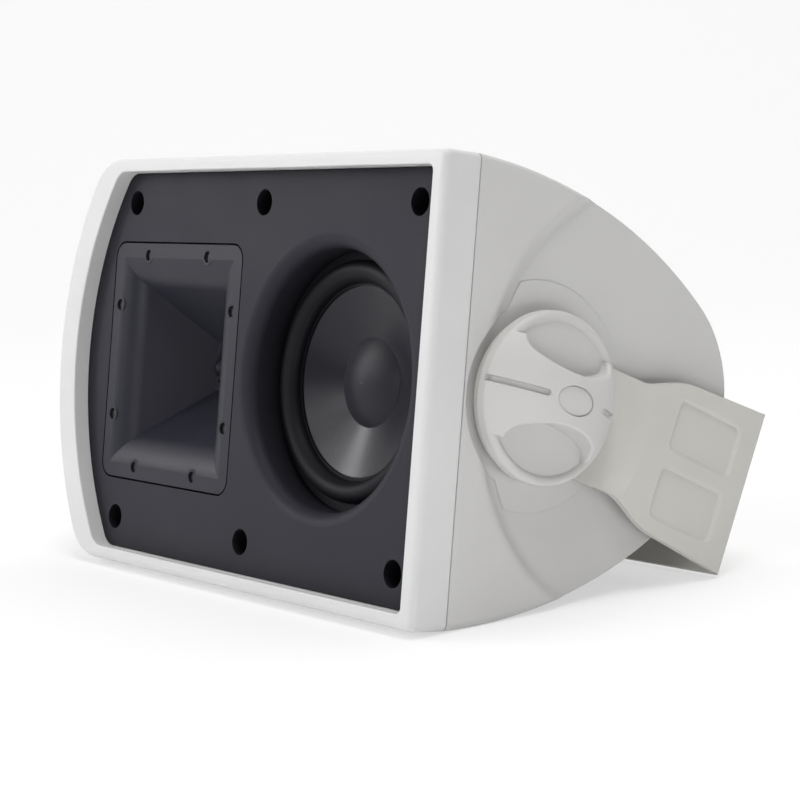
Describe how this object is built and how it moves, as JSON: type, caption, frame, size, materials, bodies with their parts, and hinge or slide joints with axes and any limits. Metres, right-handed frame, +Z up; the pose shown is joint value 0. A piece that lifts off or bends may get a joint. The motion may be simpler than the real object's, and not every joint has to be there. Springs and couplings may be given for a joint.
{
  "type": "outdoor speaker",
  "caption": "Outdoor loudspeaker: rounded two-shell cabinet with a square horn and a woofer in an open front, held in a tilting wall bracket by clamp knobs at its ends.",
  "frame": {"origin": "middle of the box round the part as it stands leaning on its bracket, on the floor", "axes": "+X along the cabinet towards the woofer end, +Y to the back, +Z up"},
  "size_m": [0.333, 0.2, 0.1904],
  "materials": {
    "white_shell": "fine moulded texture",
    "white_frame": "satin",
    "white_knob": "satin",
    "badge_plastic": "satin",
    "bracket_paint": "powder coat",
    "baffle_plastic": "fine moulded texture",
    "horn_plastic": "satin",
    "cone_plastic": "moulded gloss",
    "cap_plastic": "satin",
    "surround_rubber": "satin",
    "gasket_foam": "matte",
    "washer_nylon": "satin",
    "black_steel": "black oxide",
    "bare_steel": "zinc plated",
    "ferrite": "sintered",
    "dome_alloy": "satin",
    "coil_copper": "enamelled",
    "spider_cloth": "woven",
    "board_laminate": "coated",
    "capacitor_film": "film",
    "ceramic": "fired",
    "wadding_fibre": "loose fibre",
    "black_plastic": "satin",
    "red_plastic": "satin",
    "plated_brass": "plated"
  },
  "bodies": {
    "cabinet": {"rear_cabinet": "white_shell", "front_frame": "white_frame", "front_baffle": "baffle_plastic", "baffle_gasket": "gasket_foam", "baffle_screws": "black_steel", "horn": "horn_plastic", "horn_screws": "black_steel", "phase_plug": "horn_plastic", "tweeter_ring": "black_plastic", "tweeter_surround": "surround_rubber", "tweeter_top_plate": "bare_steel", "tweeter_magnet": "ferrite", "tweeter_yoke": "bare_steel", "tweeter_screws": "black_steel", "woofer_basket": "black_steel", "woofer_gasket": "gasket_foam", "woofer_screws": "black_steel", "woofer_surround": "surround_rubber", "woofer_spider": "spider_cloth", "woofer_top_plate": "bare_steel", "woofer_magnet": "ferrite", "woofer_yoke": "bare_steel", "crossover_board": "board_laminate", "crossover_inductors": "coil_copper", "crossover_capacitors": "capacitor_film", "crossover_resistor": "ceramic", "crossover_screws": "black_steel", "acoustic_wadding": "wadding_fibre", "terminal_gasket": "gasket_foam", "terminal_cup": "black_plastic", "terminal_screws": "black_steel", "terminal_posts": "plated_brass", "post_nuts": "plated_brass", "right_pivot_insert": "plated_brass", "left_pivot_insert": "plated_brass", "right_friction_washer": "washer_nylon", "left_friction_washer": "washer_nylon"},
    "bracket": {"bracket": "bracket_paint"},
    "right_clamp": {"right_clamp_washer": "bare_steel"},
    "right_knob": {"right_knob": "white_knob", "right_knob_stud": "bare_steel", "right_knob_badge": "badge_plastic"},
    "left_clamp": {"left_clamp_washer": "bare_steel"},
    "left_knob": {"left_knob": "white_knob", "left_knob_stud": "bare_steel", "left_knob_badge": "badge_plastic"},
    "woofer_cone": {"woofer_cone": "cone_plastic", "woofer_dust_cap": "cap_plastic", "woofer_voice_coil": "coil_copper"},
    "tweeter_dome": {"tweeter_diaphragm": "dome_alloy", "tweeter_voice_coil": "coil_copper"},
    "black_washer": {"black_post_washer": "plated_brass"},
    "black_nut": {"black_thumb_nut": "black_plastic"},
    "red_washer": {"red_post_washer": "plated_brass"},
    "red_nut": {"red_thumb_nut": "red_plastic"}
  },
  "joints": [
    {"name": "bracket_tilt", "type": "hinge", "parent": "cabinet", "child": "bracket", "pos_m": [0, -0.029, 0.0886], "axis": [1, 0, 0], "range_deg": [-72.6, 107.4]},
    {"name": "woofer_excursion", "type": "slide", "parent": "cabinet", "child": "woofer_cone", "axis": [0, -0.9892, 0.1466], "range_m": [-0.004, 0.004], "stiffness_N_per_m": 1000, "deforming": ["woofer_surround", "woofer_spider"]},
    {"name": "tweeter_excursion", "type": "slide", "parent": "cabinet", "child": "tweeter_dome", "axis": [0, -0.9892, 0.1466], "range_m": [-0.0003, 0.0003], "stiffness_N_per_m": 150, "deforming": ["tweeter_surround"]},
    {"name": "right_clamp_slide", "type": "slide", "parent": "cabinet", "child": "right_clamp", "axis": [1, 0, 0], "range_m": [0, 0.00187]},
    {"name": "right_knob_turn", "type": "hinge", "parent": "right_clamp", "child": "right_knob", "pos_m": [0, -0.029, 0.0886], "axis": [1, 0, 0], "range_deg": [-0.5, 540.5]},
    {"name": "left_clamp_slide", "type": "slide", "parent": "cabinet", "child": "left_clamp", "axis": [-1, 0, 0], "range_m": [0, 0.00187]},
    {"name": "left_knob_turn", "type": "hinge", "parent": "left_clamp", "child": "left_knob", "pos_m": [0, -0.029, 0.0886], "axis": [-1, 0, 0], "range_deg": [-0.5, 540.5]},
    {"name": "black_washer_lift", "type": "slide", "parent": "cabinet", "child": "black_washer", "axis": [0, 0.9892, -0.1466], "range_m": [0, 0.0024]},
    {"name": "black_nut_turn", "type": "hinge", "parent": "black_washer", "child": "black_nut", "pos_m": [-0.05925, 0.06478, 0.0747], "axis": [0, 0.9892, -0.1466], "range_deg": [-0.5, 1080.5]},
    {"name": "red_washer_lift", "type": "slide", "parent": "cabinet", "child": "red_washer", "axis": [0, 0.9892, -0.1466], "range_m": [0, 0.0024]},
    {"name": "red_nut_turn", "type": "hinge", "parent": "red_washer", "child": "red_nut", "pos_m": [-0.04025, 0.06478, 0.0747], "axis": [0, 0.9892, -0.1466], "range_deg": [-0.5, 1080.5]}
  ],
  "couplings": [
    {"joint": "right_knob_turn", "follows": "right_clamp_slide", "rad_per_m": 5026.5},
    {"joint": "left_knob_turn", "follows": "left_clamp_slide", "rad_per_m": 5026.5},
    {"joint": "black_nut_turn", "follows": "black_washer_lift", "rad_per_m": 7854},
    {"joint": "red_nut_turn", "follows": "red_washer_lift", "rad_per_m": 7854}
  ]
}
